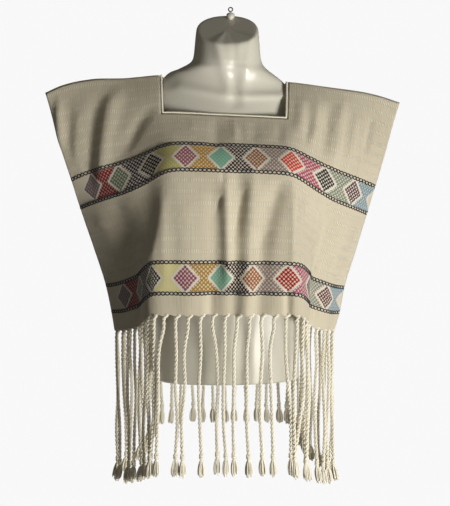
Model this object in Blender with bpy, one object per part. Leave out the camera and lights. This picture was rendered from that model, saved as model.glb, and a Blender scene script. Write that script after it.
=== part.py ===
# A short brocaded top of handwoven cotton, shown on a limbless form that hangs from an eye at its neck.
# One width of cloth is folded over at the shoulders. Its halves hang in front and behind, are joined at
# the sides below open armholes, and end in knotted cords at the hem. A cord binds the square neck.
#
# Sizes are metres. In this file x runs across the cloth to the viewer's right, y runs from the front
# (negative) to the back, and z is up. Heights and depths in the tables are counted from the middle of the
# shoulder fold. The model's own origin is in the eye that it hangs from, so place() moves each point.

import math
from collections import namedtuple

import bmesh
import bpy
from mathutils import Vector

# Cloth as it was cut
CLOTH_WIDTH = 0.620
PANEL_DROP = 0.440
WALL = 0.0020
SEAM_GAP = 0.0003

# Neck hole, cut square across the shoulder fold
NECK_LEFT = -0.110
NECK_RIGHT = 0.1155
NECK_FRONT_DROP = 0.085
NECK_BACK_DROP = 0.075

# Outline as it hangs
CORNER_SHIFT = 0.0035
MIDDLE_HEIGHT = -0.005
ARMHOLE = 0.230
ARMHOLE_GAPE = 0.020
TURN_SOFTNESS = 0.009

# Neck binding
BINDING_RADIUS = 0.0020
BINDING_GAP = 0.0008
BINDING_SIDES = 6
BINDING_STEP = 0.014

# Fringe
CORDS_A_SIDE = 29
CORD_EDGE = 0.0055
CORD_HALF = 0.0025
STRIP_HEIGHT = 0.006
ROOT_DROP = 0.008
CORD_LENGTH = 0.226
KNOT_HALF = 0.0039
KNOT_LENGTH = 0.008
TUFT_HALF = 0.0045
TUFT_TIP_HALF = 0.0030
TUFT_LENGTH = 0.028
TUFT_BULGE = 0.6
TUFT_FLARE = 0.010
CORD_SPREAD = 0.005

# Form, knob and hanging eye
FORM_X = 0.0085
FORM_CENTRE_Y = 0.012
FORM_SIDES = 32
KNOB_RADIUS = 0.0075
KNOB_HEIGHT = 0.006
KNOB_SIDES = 16
EYE_RADIUS = 0.0036
EYE_WIRE = 0.0011
EYE_WIRE_SIDES = 8
EYE_STEPS = 20
SHANK_FOOT = 0.0016
SHANK_TOP = 0.0013
SHANK_SINK = 0.0005
HANG_POINT = Vector((0.0144, 0.045, 0.1212))

# Grid steps of the two halves of the cloth, across and down
FRONT_STEP = (0.0140, 0.0215)
BACK_STEP = (0.0165, 0.0245)

# Height of the shoulder fold across the cloth
Shoulder = namedtuple("Shoulder", "across height")
SHOULDER = [
    Shoulder(-0.310, -0.0305),
    Shoulder(-0.280, -0.0175),
    Shoulder(-0.247, -0.0095),
    Shoulder(-0.214, -0.0058),
    Shoulder(-0.176, -0.0055),
    Shoulder(-0.150, -0.0034),
    Shoulder(-0.110, 0.0000),
    Shoulder(0.000, -0.0050),
    Shoulder(0.115, -0.0118),
    Shoulder(0.187, -0.0211),
    Shoulder(0.2415, -0.0287),
    Shoulder(0.2713, -0.0352),
    Shoulder(0.310, -0.0477),
]

# Course of each half down its middle: how far it stands out from the fold's plane, and how far it has dropped
Course = namedtuple("Course", "down out drop")
FRONT_COURSE = [
    Course(0.000, 0.000, 0.0000),
    Course(0.045, 0.029, 0.0340),
    Course(0.085, 0.051, 0.0670),
    Course(0.120, 0.0725, 0.0915),
    Course(0.155, 0.0935, 0.1165),
    Course(0.206, 0.1175, 0.1588),
    Course(0.354, 0.120, 0.3098),
    Course(0.404, 0.119, 0.3612),
    Course(0.440, 0.117, 0.3960),
]
BACK_COURSE = [
    Course(0.000, 0.000, 0.0000),
    Course(0.040, 0.039, 0.0070),
    Course(0.075, 0.072, 0.0190),
    Course(0.120, 0.099, 0.0540),
    Course(0.200, 0.112, 0.1320),
    Course(0.300, 0.113, 0.2320),
    Course(0.440, 0.108, 0.3720),
]

# Where each half turns back towards its left and right side, how much of its width is left between the turns,
# how far it bows in beyond them (below zero is out), and how soon it sinks there (1 is evenly)
Turn = namedtuple("Turn", "down left right gather left_bow right_bow sink")
TURNS = [
    Turn(0.000, 0.165, 0.165, 1.000, 0.00, 0.00, 2.00),
    Turn(0.085, 0.122, 0.144, 0.955, -0.08, -0.10, 1.95),
    Turn(0.155, 0.101, 0.128, 0.905, -0.12, -0.16, 2.05),
    Turn(0.206, 0.101, 0.128, 0.904, -0.12, -0.16, 2.05),
    Turn(0.280, 0.116, 0.133, 0.920, 0.15, 0.10, 1.75),
    Turn(0.354, 0.134, 0.137, 0.931, 0.42, 0.36, 1.50),
    Turn(0.440, 0.134, 0.137, 0.930, 0.42, 0.36, 1.50),
]

# Course of the side edges: how far left and right of the middle they hang, and how far they have dropped
Side = namedtuple("Side", "down left right drop")
SIDES = [
    Side(0.000, 0.3100, 0.3100, 0.0000),
    Side(0.085, 0.2850, 0.2840, 0.0875),
    Side(0.155, 0.2645, 0.2647, 0.1600),
    Side(0.206, 0.2512, 0.2519, 0.2130),
    Side(0.280, 0.2290, 0.2320, 0.2860),
    Side(0.354, 0.2081, 0.2116, 0.3590),
    Side(0.404, 0.1990, 0.2030, 0.4080),
    Side(0.440, 0.1942, 0.1940, 0.4420),
]

# Creases: centre across, half width, height (below zero for a trough), where it starts and ends down the
# cloth, and how far it leans sideways over its length
Crease = namedtuple("Crease", "across reach height top bottom lean")
FRONT_CREASES = [
    Crease(0.004, 0.0085, 0.0075, 0.215, 0.405, 0.004),
    Crease(-0.016, 0.0150, -0.0055, 0.225, 0.440, 0.000),
    Crease(0.030, 0.0140, -0.0060, 0.190, 0.440, -0.012),
    Crease(0.052, 0.0150, 0.0055, 0.190, 0.440, -0.016),
    Crease(0.108, 0.0165, -0.0080, 0.205, 0.350, -0.050),
    Crease(0.072, 0.0160, -0.0055, 0.290, 0.440, -0.012),
    Crease(-0.070, 0.0200, 0.0030, 0.240, 0.440, 0.006),
    Crease(-0.144, 0.0190, -0.0030, 0.170, 0.440, 0.008),
    Crease(-0.213, 0.0200, -0.0035, 0.190, 0.440, -0.006),
    Crease(-0.262, 0.0230, 0.0030, 0.200, 0.440, -0.004),
    Crease(0.213, 0.0200, -0.0080, 0.190, 0.440, 0.004),
    Crease(0.262, 0.0230, 0.0070, 0.200, 0.440, 0.004),
    Crease(-0.184, 0.0170, 0.0065, 0.010, 0.190, -0.058),
    Crease(-0.216, 0.0160, -0.0050, 0.020, 0.190, -0.052),
    Crease(-0.289, 0.0085, 0.0060, 0.004, 0.115, -0.022),
    Crease(-0.124, 0.0160, -0.0045, 0.055, 0.160, -0.070),
    Crease(-0.014, 0.0140, -0.0035, 0.080, 0.185, 0.002),
    Crease(0.140, 0.0090, 0.0035, 0.025, 0.130, -0.004),
    Crease(0.168, 0.0090, 0.0040, 0.025, 0.150, -0.008),
    Crease(0.212, 0.0110, 0.0045, 0.010, 0.170, -0.012),
]
BACK_CREASES = [
    Crease(0.000, 0.0170, -0.0060, 0.200, 0.440, 0.006),
    Crease(0.052, 0.0160, 0.0055, 0.180, 0.440, 0.010),
    Crease(-0.060, 0.0180, 0.0055, 0.210, 0.440, -0.008),
    Crease(-0.105, 0.0170, -0.0060, 0.230, 0.440, 0.010),
    Crease(0.104, 0.0160, -0.0055, 0.240, 0.440, -0.006),
    Crease(-0.214, 0.0210, -0.0080, 0.190, 0.440, -0.004),
    Crease(-0.262, 0.0230, 0.0070, 0.200, 0.440, 0.000),
    Crease(0.214, 0.0210, -0.0080, 0.190, 0.440, 0.006),
    Crease(0.262, 0.0230, 0.0070, 0.200, 0.440, 0.004),
    Crease(-0.180, 0.0160, 0.0050, 0.020, 0.180, -0.010),
    Crease(0.172, 0.0170, 0.0050, 0.025, 0.170, 0.008),
]
CREASE_FADE = 0.045
EDGE_FADE = 0.020

# Cords of the front that hang out of line: how far sideways they stand from below their root at a quarter,
# a half, three quarters and the whole of their length
Sway = namedtuple("Sway", "cord quarter half three_quarters whole")
FRONT_SWAYS = [
    Sway(0, 0.0005, 0.0025, 0.0050, 0.0050),
    Sway(1, 0.0000, 0.0030, 0.0090, 0.0100),
    Sway(8, 0.0000, 0.0010, -0.0010, -0.0060),
    Sway(9, -0.0080, -0.0090, -0.0100, -0.0120),
    Sway(10, 0.0010, 0.0000, 0.0030, 0.0000),
    Sway(11, -0.0060, -0.0050, -0.0100, -0.0090),
    Sway(13, 0.0060, 0.0090, 0.0070, 0.0080),
    Sway(14, 0.0000, -0.0020, -0.0020, 0.0020),
    Sway(15, -0.0050, -0.0050, -0.0060, -0.0050),
    Sway(16, -0.0040, -0.0040, -0.0040, -0.0010),
    Sway(18, -0.0065, -0.0045, -0.0025, -0.0010),
    Sway(19, 0.0000, 0.0040, 0.0090, 0.0090),
    Sway(20, -0.0015, -0.0045, -0.0045, -0.0030),
    Sway(21, -0.0010, 0.0010, -0.0060, -0.0130),
    Sway(22, 0.0020, 0.0030, 0.0020, 0.0000),
    Sway(23, 0.0000, -0.0010, -0.0050, -0.0030),
]
IDLE_SWAY = 0.0022

# Form: height, half width, reach to the front and back, squareness, the rise of a slanted section from front
# to back, and how far it leans down to the right
Section = namedtuple("Section", "height half_width front back power slant lean")
FORM = [
    Section(-0.5365, 0.1270, 0.084, 0.096, 2.2, -0.10, -0.012),
    Section(-0.490, 0.1275, 0.086, 0.096, 2.2, -0.05, -0.006),
    Section(-0.430, 0.1275, 0.084, 0.093, 2.2, 0.00, 0.000),
    Section(-0.360, 0.1265, 0.080, 0.089, 2.2, 0.00, 0.001),
    Section(-0.300, 0.1275, 0.083, 0.088, 2.2, 0.00, 0.007),
    Section(-0.240, 0.1320, 0.094, 0.093, 2.3, 0.00, 0.016),
    Section(-0.195, 0.1360, 0.104, 0.100, 2.3, 0.00, 0.023),
    Section(-0.165, 0.1380, 0.103, 0.103, 2.2, 0.00, 0.028),
    Section(-0.135, 0.1420, 0.089, 0.103, 2.0, 0.00, 0.033),
    Section(-0.105, 0.1480, 0.068, 0.099, 1.9, 0.00, 0.038),
    Section(-0.078, 0.1510, 0.0503, 0.091, 1.9, 0.00, 0.041),
    Section(-0.052, 0.1480, 0.0396, 0.080, 1.8, 0.00, 0.044),
    Section(-0.034, 0.1390, 0.034, 0.070, 1.8, 0.00, 0.055),
    Section(-0.026, 0.1290, 0.032, 0.067, 1.7, 0.00, 0.070),
    Section(-0.0166, 0.1157, 0.0305, 0.064, 1.7, 0.00, 0.090),
    Section(-0.0067, 0.1042, 0.031, 0.063, 1.7, 0.00, 0.108),
    Section(-0.0007, 0.0975, 0.032, 0.0625, 1.75, 0.01, 0.094),
    Section(0.0035, 0.0900, 0.033, 0.062, 1.8, 0.02, 0.078),
    Section(0.009, 0.0810, 0.035, 0.062, 1.9, 0.04, 0.072),
    Section(0.016, 0.0700, 0.037, 0.061, 2.0, 0.08, 0.062),
    Section(0.024, 0.0620, 0.038, 0.061, 2.0, 0.12, 0.050),
    Section(0.034, 0.0592, 0.039, 0.060, 2.0, 0.18, 0.035),
    Section(0.054, 0.0573, 0.039, 0.060, 2.0, 0.36, 0.010),
    Section(0.073, 0.0555, 0.038, 0.060, 2.1, 0.56, 0.000),
    Section(0.083, 0.0540, 0.036, 0.058, 2.2, 0.66, 0.000),
]

# Outline of the knob: share of its radius, and share of its height
Round = namedtuple("Round", "radius rise")
KNOB = [Round(0.75, 0.0), Round(1.0, 0.35), Round(0.92, 0.7), Round(0.55, 1.0)]

# Colour, roughness and metallic value of each finish
Finish = namedtuple("Finish", "colour roughness metallic")
FINISHES = {
    "cloth": Finish((0.68, 0.61, 0.47), 0.90, 0.0),
    "cord": Finish((0.74, 0.68, 0.54), 0.85, 0.0),
    "form": Finish((0.82, 0.82, 0.78), 0.38, 0.0),
    "steel": Finish((0.16, 0.15, 0.14), 0.40, 1.0),
}


def place(point):
    """Move a point from the cloth's frame into the model's, whose origin is in the hanging eye."""
    return Vector(point) - HANG_POINT


def mix(start, end, share):
    return start + (end - start) * share


def read(table, at, column):
    """Read one column of a table between its rows, on a curve that never overshoots them."""
    places = [row[0] for row in table]
    values = [getattr(row, column) for row in table]
    at = min(max(at, places[0]), places[-1])
    slopes = [(values[i + 1] - values[i]) / (places[i + 1] - places[i]) for i in range(len(places) - 1)]
    span = next(i for i in range(len(slopes)) if at <= places[i + 1])

    def tangent(row):
        if row == 0 or row == len(slopes):
            return slopes[min(row, len(slopes) - 1)]
        before = slopes[row - 1]
        after = slopes[row]
        if before * after <= 0:
            return 0.0
        return 2 * before * after / (before + after)

    width = places[span + 1] - places[span]
    t = (at - places[span]) / width
    start = (1 + 2 * t) * (1 - t) ** 2 * values[span] + t * (1 - t) ** 2 * width * tangent(span)
    end = t * t * (3 - 2 * t) * values[span + 1] + t * t * (t - 1) * width * tangent(span + 1)
    return start + end


def ramp(length):
    """Zero before the turn and straight after it, with a soft corner between."""
    return TURN_SOFTNESS * math.log1p(math.exp(length / TURN_SOFTNESS))


def fade(value, width):
    """Rise smoothly from 0 to 1 as value goes from 0 to width."""
    t = min(max(value / width, 0.0), 1.0)
    return t * t * (3 - 2 * t)


def hang(face, across, down):
    """Where a point of the flat cloth hangs before its creases; face is -1 in front and 1 behind."""
    half = CLOTH_WIDTH / 2
    side = 1 if across > 0 else -1
    fall = down / PANEL_DROP
    way = "right" if side > 0 else "left"
    turn = read(TURNS, down, way)
    gather = read(TURNS, down, "gather")
    past = ramp(abs(across) - turn)
    most = ramp(half - turn)
    share = min(past / most, 1.0)
    bowed = share + read(TURNS, down, way + "_bow") * (share**3 - share)
    sunk = 1 - (1 - share) ** read(TURNS, down, "sink")
    start = (abs(across) - past) * gather
    rest = read(SIDES, down, way) - (half - most) * gather
    course = FRONT_COURSE if face < 0 else BACK_COURSE
    gape = ARMHOLE_GAPE * math.sin(math.pi * min(down / ARMHOLE, 1.0)) ** 2
    out = mix(read(course, down, "out"), gape, share)
    drop = mix(read(course, down, "drop"), read(SIDES, down, "drop"), sunk)
    top = mix(read(SHOULDER, across, "height"), MIDDLE_HEIGHT, fall)
    x = side * (start + rest * bowed) + CORNER_SHIFT * fall
    return Vector((x, face * (SEAM_GAP / 2 + out), top - drop))


def outward(surface, face, across, down):
    """The direction out of a surface of the cloth, from two small steps along it."""
    step = 0.001
    half = CLOTH_WIDTH / 2
    left = surface(face, max(across - step, -half), down)
    right = surface(face, min(across + step, half), down)
    above = surface(face, across, max(down - step, 0.0))
    below = surface(face, across, min(down + step, PANEL_DROP))
    normal = (right - left).cross(below - above) * face
    return normal.normalized()


def crease_height(face, across, down):
    """How far the creases lift the cloth off its plain hang."""
    total = 0.0
    for crease in FRONT_CREASES if face < 0 else BACK_CREASES:
        along = (down - crease.top) / (crease.bottom - crease.top)
        centre = crease.across + crease.lean * along
        start = fade(down - crease.top, CREASE_FADE)
        end = 1.0 if crease.bottom >= PANEL_DROP else fade(crease.bottom - down, CREASE_FADE)
        total += crease.height * math.exp(-(((across - centre) / crease.reach) ** 2)) * start * end
    sewn = fade(down - ARMHOLE / 2, ARMHOLE / 2)
    at_edge = fade(CLOTH_WIDTH / 2 - abs(across), EDGE_FADE)
    return total * mix(1.0, at_edge, sewn)


def cloth(face, across, down):
    """Where a point of the flat cloth hangs, creases and all."""
    lift = crease_height(face, across, down)
    return hang(face, across, down) + outward(hang, face, across, down) * lift


def across_wall(face, across, down):
    """The direction through the wall, kept in the plane between the halves at the fold and the side seams."""
    normal = outward(cloth, face, across, down)
    at_side = abs(across) > CLOTH_WIDTH / 2 - 0.0001 and down > ARMHOLE - 0.0001
    if down < 0.0001 or at_side:
        normal.y = 0.0
    return normal.normalized()


def wall_points(face, across, down):
    """The outer and inner points of the cloth's wall."""
    middle = cloth(face, across, down)
    normal = across_wall(face, across, down)
    return place(middle + normal * WALL / 2), place(middle - normal * WALL / 2)


def steps(stops, step):
    """Places from the first stop to the last, evenly spaced between stops and never wider than a step."""
    places = [stops[0]]
    for start, end in zip(stops, stops[1:]):
        count = max(1, math.ceil((end - start) / step - 0.001))
        places += [round(mix(start, end, (i + 1) / count), 6) for i in range(count)]
    return places


def add_object(name, mesh_data, finish):
    """Turn a bmesh into a named, smooth object with its material."""
    bmesh.ops.recalc_face_normals(mesh_data, faces=mesh_data.faces)
    mesh = bpy.data.meshes.new(name)
    mesh_data.to_mesh(mesh)
    mesh_data.free()
    mesh.shade_smooth()
    mesh.set_sharp_from_angle(angle=math.radians(50))
    mesh.materials.append(bpy.data.materials[finish])
    shape = bpy.data.objects.new(name, mesh)
    bpy.context.scene.collection.objects.link(shape)
    return shape


def make_finishes():
    for name, finish in FINISHES.items():
        material = bpy.data.materials.new(name)
        material.use_nodes = True
        shader = material.node_tree.nodes["Principled BSDF"]
        shader.inputs["Base Color"].default_value = (*finish.colour, 1.0)
        shader.inputs["Roughness"].default_value = finish.roughness
        shader.inputs["Metallic"].default_value = finish.metallic


def make_panel(name, face, neck_drop, step):
    """One half of the cloth, from the shoulder fold to the hem, with its share of the square neck hole."""
    half = CLOTH_WIDTH / 2
    columns = steps([-half, NECK_LEFT, NECK_RIGHT, half], step[0])
    rows = steps([0.0, neck_drop, ARMHOLE, PANEL_DROP], step[1])
    panel = bmesh.new()
    points = {}
    for i, across in enumerate(columns):
        for j, down in enumerate(rows):
            if j < rows.index(neck_drop) and NECK_LEFT < across < NECK_RIGHT:
                continue
            outer, inner = wall_points(face, across, down)
            points[i, j] = (panel.verts.new(outer), panel.verts.new(inner))
    cells = [
        (i, j)
        for i in range(len(columns) - 1)
        for j in range(len(rows) - 1)
        if rows[j] >= neck_drop or not NECK_LEFT <= columns[i] < NECK_RIGHT
    ]
    edges = {}
    for i, j in cells:
        ring = [(i, j), (i + 1, j), (i + 1, j + 1), (i, j + 1)]
        panel.faces.new([points[key][0] for key in ring])
        panel.faces.new([points[key][1] for key in reversed(ring)])
        for start, end in zip(ring, ring[1:] + ring[:1]):
            edges[frozenset((start, end))] = edges.get(frozenset((start, end)), []) + [(start, end)]
    for sides in edges.values():
        if len(sides) == 1:
            start, end = sides[0]
            panel.faces.new([points[end][0], points[start][0], points[start][1], points[end][1]])
    return add_object(name, panel, "cloth")


def neck_path():
    """Points of the neck edge, once round, each with the direction out of the cloth beside it."""
    inset = BINDING_RADIUS + BINDING_GAP
    left = NECK_LEFT + inset
    right = NECK_RIGHT - inset
    path = []
    for face, drop in ((-1, NECK_FRONT_DROP), (1, NECK_BACK_DROP)):
        low = drop - inset
        downs = steps([0.0, low], BINDING_STEP)
        acrosses = steps([left, right], BINDING_STEP)
        round_half = [(left, down) for down in downs]
        round_half += [(across, low) for across in acrosses[1:-1]]
        round_half += [(right, down) for down in reversed(downs)]
        if face > 0:
            round_half = list(reversed(round_half))[1:-1]
        path += [(cloth(face, *spot), outward(cloth, face, *spot)) for spot in round_half]
    return path


def make_binding():
    """The cord that binds the neck, as one closed ring just inside the cloth's edge."""
    path = neck_path()
    binding = bmesh.new()
    rings = []
    for i, (centre, normal) in enumerate(path):
        along = (path[(i + 1) % len(path)][0] - path[i - 1][0]).normalized()
        aside = along.cross(normal).normalized()
        normal = aside.cross(along).normalized()
        angles = [2 * math.pi * k / BINDING_SIDES for k in range(BINDING_SIDES)]
        ring = [centre + (aside * math.cos(a) + normal * math.sin(a)) * BINDING_RADIUS for a in angles]
        rings.append([binding.verts.new(place(point)) for point in ring])
    for ring, after in zip(rings, rings[1:] + rings[:1]):
        for k in range(BINDING_SIDES):
            m = (k + 1) % BINDING_SIDES
            binding.faces.new([ring[k], ring[m], after[m], after[k]])
    return add_object("neck_binding", binding, "cord")


def cord_rings(face, number, across):
    """Centres and half widths down one cord, from its root to the tip of its tuft."""
    table = {row.cord: row for row in FRONT_SWAYS} if face < 0 else {}
    idle = [IDLE_SWAY * math.sin(2.4 * number + 1.7 * k + face) for k in range(4)]
    sway = table[number][1:] if number in table else idle
    middle = (number - (CORDS_A_SIDE - 1) / 2) / CORDS_A_SIDE
    root = cloth(face, across, PANEL_DROP) - Vector((0, 0, SEAM_GAP + STRIP_HEIGHT))
    rings = [(root - Vector((0, 0, ROOT_DROP)), CORD_HALF)]
    for k, aside in enumerate(sway):
        share = (k + 1) / 4
        outwards = face * CORD_SPREAD * share
        rings.append((root + Vector((aside, outwards, -CORD_LENGTH * share)), CORD_HALF))
    end = rings[-1][0]
    flare = Vector((TUFT_FLARE * middle, 0.0, -TUFT_LENGTH))
    tuft = end - Vector((0, 0, KNOT_LENGTH))
    rings.append((end - Vector((0, 0, KNOT_LENGTH / 2)), KNOT_HALF))
    rings.append((tuft, CORD_HALF))
    rings.append((tuft + flare * TUFT_BULGE, TUFT_HALF))
    rings.append((tuft + flare, TUFT_TIP_HALF))
    return rings


def hem_points(face, across, panel_columns):
    """The outer and inner points of the hem's wall, on the straight runs between the panel's columns."""
    last = len(panel_columns) - 1
    right = next(i for i in range(1, last + 1) if across <= panel_columns[i] or i == last)
    start = panel_columns[right - 1]
    share = (across - start) / (panel_columns[right] - start)
    pairs = zip(wall_points(face, start, PANEL_DROP), wall_points(face, panel_columns[right], PANEL_DROP))
    return [mix(low, high, share) for low, high in pairs]


def make_fringe(name, face, step):
    """A narrow strip parted from the hem, with the knotted cords that grow out of its lower edge."""
    half = CLOTH_WIDTH / 2
    span = CLOTH_WIDTH - 2 * CORD_EDGE
    roots = [-half + CORD_EDGE + span * k / (CORDS_A_SIDE - 1) for k in range(CORDS_A_SIDE)]
    panel_columns = steps([-half, NECK_LEFT, NECK_RIGHT, half], step[0])
    stations = [-half]
    for root in roots:
        gap = [spot for spot in panel_columns if stations[-1] < spot < root - CORD_HALF - SEAM_GAP]
        stations += gap + [root - CORD_HALF, root + CORD_HALF]
    stations.append(half)
    fringe = bmesh.new()
    columns = []
    for across in stations:
        outer, inner = hem_points(face, across, panel_columns)
        drops = (SEAM_GAP, SEAM_GAP, SEAM_GAP + STRIP_HEIGHT, SEAM_GAP + STRIP_HEIGHT)
        corners = zip((outer, inner, inner, outer), drops)
        columns.append([fringe.verts.new(point - Vector((0, 0, drop))) for point, drop in corners])
    root_columns = [stations.index(root - CORD_HALF) for root in roots]
    for i, (left, right) in enumerate(zip(columns, columns[1:])):
        for k in range(4):
            m = (k + 1) % 4
            under_cord = k == 2 and i in root_columns
            if not under_cord:
                fringe.faces.new([left[k], right[k], right[m], left[m]])
    fringe.faces.new(columns[0])
    fringe.faces.new(list(reversed(columns[-1])))
    for number, across in enumerate(roots):
        left = columns[root_columns[number]]
        right = columns[root_columns[number] + 1]
        top = [left[3], right[3], right[2], left[2]]
        aside = (right[3].co - left[3].co).normalized()
        aside.z = 0.0
        aside.normalize()
        out = (left[3].co - left[2].co + right[3].co - right[2].co).normalized()
        out.z = 0.0
        out.normalize()
        for centre, size in cord_rings(face, number, across):
            corners = [out - aside, out + aside, aside - out, -aside - out]
            ring = [fringe.verts.new(place(centre + corner * size)) for corner in corners]
            for k in range(4):
                m = (k + 1) % 4
                fringe.faces.new([top[k], top[m], ring[m], ring[k]])
            top = ring
        fringe.faces.new(top)
    return add_object(name, fringe, "cord")


def form_ring(section):
    """Points once round the form at one section."""
    power = 2 / section.power
    ring = []
    for k in range(FORM_SIDES):
        angle = 2 * math.pi * k / FORM_SIDES
        across = math.copysign(abs(math.cos(angle)) ** power, math.cos(angle)) * section.half_width
        depth = math.copysign(abs(math.sin(angle)) ** power, math.sin(angle))
        reach = section.back - FORM_CENTRE_Y if depth > 0 else section.front + FORM_CENTRE_Y
        x = FORM_X + across
        y = FORM_CENTRE_Y + depth * reach
        z = section.height + section.slant * (y - FORM_CENTRE_Y) - section.lean * across
        ring.append(Vector((x, y, z)))
    return ring


def make_form():
    """The limbless form: smooth, closed at its rim and at its slanted neck cap."""
    form = bmesh.new()
    rings = [[form.verts.new(place(point)) for point in form_ring(section)] for section in FORM]
    for ring, above in zip(rings, rings[1:]):
        for k in range(FORM_SIDES):
            m = (k + 1) % FORM_SIDES
            form.faces.new([ring[k], ring[m], above[m], above[k]])
    form.faces.new(list(reversed(rings[0])))
    form.faces.new(rings[-1])
    return add_object("dress_form", form, "form")


def cap_height(y):
    """Height of the form's slanted neck cap at a depth."""
    cap = FORM[-1]
    return cap.height + cap.slant * (y - FORM_CENTRE_Y)


def knob_top():
    """Height of the flat top of the knob, which is level over the slanted cap."""
    return cap_height(HANG_POINT.y + KNOB_RADIUS) + SEAM_GAP + KNOB_HEIGHT


def make_knob():
    """The round knob that stands on the neck cap."""
    knob = bmesh.new()
    rings = []
    for level in KNOB:
        ring = []
        for k in range(KNOB_SIDES):
            angle = 2 * math.pi * k / KNOB_SIDES
            x = HANG_POINT.x + math.cos(angle) * KNOB_RADIUS * level.radius
            y = HANG_POINT.y + math.sin(angle) * KNOB_RADIUS * level.radius
            seat = cap_height(y) + SEAM_GAP
            z = mix(seat, knob_top(), level.rise)
            ring.append(knob.verts.new(place((x, y, z))))
        rings.append(ring)
    for ring, above in zip(rings, rings[1:]):
        for k in range(KNOB_SIDES):
            m = (k + 1) % KNOB_SIDES
            knob.faces.new([ring[k], ring[m], above[m], above[k]])
    knob.faces.new(list(reversed(rings[0])))
    knob.faces.new(rings[-1])
    return add_object("cap_knob", knob, "form")


def make_eye():
    """The steel eye on the knob, an upright ring on a short shank, that the form hangs from."""
    foot = knob_top() + SEAM_GAP
    eye = bmesh.new()
    bmesh.ops.create_circle(eye, segments=EYE_WIRE_SIDES, radius=EYE_WIRE)
    for vert in eye.verts:
        vert.co = Vector((vert.co.x + EYE_RADIUS, 0.0, vert.co.y))
    wire = eye.verts[:] + eye.edges[:]
    turn = {"cent": (0, 0, 0), "axis": (0, 0, 1), "angle": 2 * math.pi}
    bmesh.ops.spin(eye, geom=wire, use_merge=True, steps=EYE_STEPS, **turn)
    bmesh.ops.remove_doubles(eye, verts=eye.verts[:], dist=0.00005)
    for vert in eye.verts:
        vert.co = place(HANG_POINT + Vector((vert.co.x, vert.co.z, vert.co.y)))
    ring = add_object("hanging_eye", eye, "steel")
    length = HANG_POINT.z - EYE_RADIUS - foot + SHANK_SINK
    middle = Vector((HANG_POINT.x, HANG_POINT.y, foot + length / 2))
    pin = bmesh.new()
    radii = {"radius1": SHANK_FOOT, "radius2": SHANK_TOP}
    bmesh.ops.create_cone(pin, cap_ends=True, segments=EYE_WIRE_SIDES, depth=length, **radii)
    for vert in pin.verts:
        vert.co = place(middle + vert.co)
    shank = add_object("shank", pin, "steel")
    union = ring.modifiers.new("shank", "BOOLEAN")
    union.operation = "UNION"
    union.object = shank
    shank.hide_render = True
    shank.display_type = "WIRE"
    return ring


def main():
    for old in list(bpy.data.objects):
        bpy.data.objects.remove(old, do_unlink=True)
    make_finishes()
    make_panel("front_panel", -1, NECK_FRONT_DROP, FRONT_STEP)
    make_panel("back_panel", 1, NECK_BACK_DROP, BACK_STEP)
    make_binding()
    make_fringe("fringe_front", -1, FRONT_STEP)
    make_fringe("fringe_back", 1, BACK_STEP)
    make_form()
    make_knob()
    make_eye()


main()
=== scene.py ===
# %% [markdown]
# # A brocaded cotton top with a knotted fringe
#
# The real top is one width of handwoven cotton, folded over at the shoulders, with a square hole cut for the
# neck. It is worn open at the arms and sewn at the sides. The warp ends are twisted into cords at the hem. It
# is shown on a limbless form that hangs from an eye at its neck.
#
# The lesson builds it in that order: camera, cloth, brocade, cords, form, light. Every length is in metres.

import math
from collections import namedtuple

import bpy
import numpy as np
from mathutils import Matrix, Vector


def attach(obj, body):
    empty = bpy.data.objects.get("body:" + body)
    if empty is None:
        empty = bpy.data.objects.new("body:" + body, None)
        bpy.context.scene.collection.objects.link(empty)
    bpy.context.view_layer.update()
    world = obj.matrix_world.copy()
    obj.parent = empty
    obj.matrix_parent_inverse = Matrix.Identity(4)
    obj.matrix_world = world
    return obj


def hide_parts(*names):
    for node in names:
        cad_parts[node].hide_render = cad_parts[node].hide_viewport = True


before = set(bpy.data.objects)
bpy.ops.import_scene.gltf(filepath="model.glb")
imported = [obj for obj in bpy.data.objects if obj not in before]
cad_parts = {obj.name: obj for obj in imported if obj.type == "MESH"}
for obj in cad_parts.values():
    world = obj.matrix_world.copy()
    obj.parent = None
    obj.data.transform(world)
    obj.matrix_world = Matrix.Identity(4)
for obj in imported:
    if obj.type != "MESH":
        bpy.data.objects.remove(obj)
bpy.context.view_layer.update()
print("nodes of the packed model:", sorted(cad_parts))

# %% [markdown]
# ## The camera
#
# The top was photographed nearly level, from about the height of the upper chest, with a long lens. Most of
# it hangs below the lens, so the view is both tilted down a little and shifted down a little. A pure shift
# would keep upright lines exactly parallel, but it would also push the other views off centre.

# %% Camera
IMAGE_HEIGHT = 506
FOCAL_PIXELS = 968
CAMERA_PLACE = Vector((-0.0144, -1.745, -0.2512))
SENSOR = 36.0
VIEW_DROP = 103
DOWN_SHIFT = 61
SIDE_SHIFT = 2.5

camera_data = bpy.data.cameras.new("camera")
camera_data.sensor_width = SENSOR
camera_data.lens = FOCAL_PIXELS * SENSOR / IMAGE_HEIGHT
camera_data.shift_y = -DOWN_SHIFT / IMAGE_HEIGHT
camera_data.shift_x = SIDE_SHIFT / IMAGE_HEIGHT
camera = bpy.data.objects.new("camera", camera_data)
bpy.context.scene.collection.objects.link(camera)
camera.location = CAMERA_PLACE
tilt = math.atan((VIEW_DROP - DOWN_SHIFT) / FOCAL_PIXELS)
camera.rotation_euler = (math.pi / 2 - tilt, 0.0, 0.0)
bpy.context.scene.camera = camera
print(f"lens {camera_data.lens:.1f} mm, tilted down {math.degrees(tilt):.1f} degrees")

# %% [markdown]
# ## Node expressions
#
# Shader and Geometry Nodes trees are graphs of small steps. Adding each Math node by hand hides the formula,
# so one class wraps an output socket, and Python's own operators add the nodes.


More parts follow.
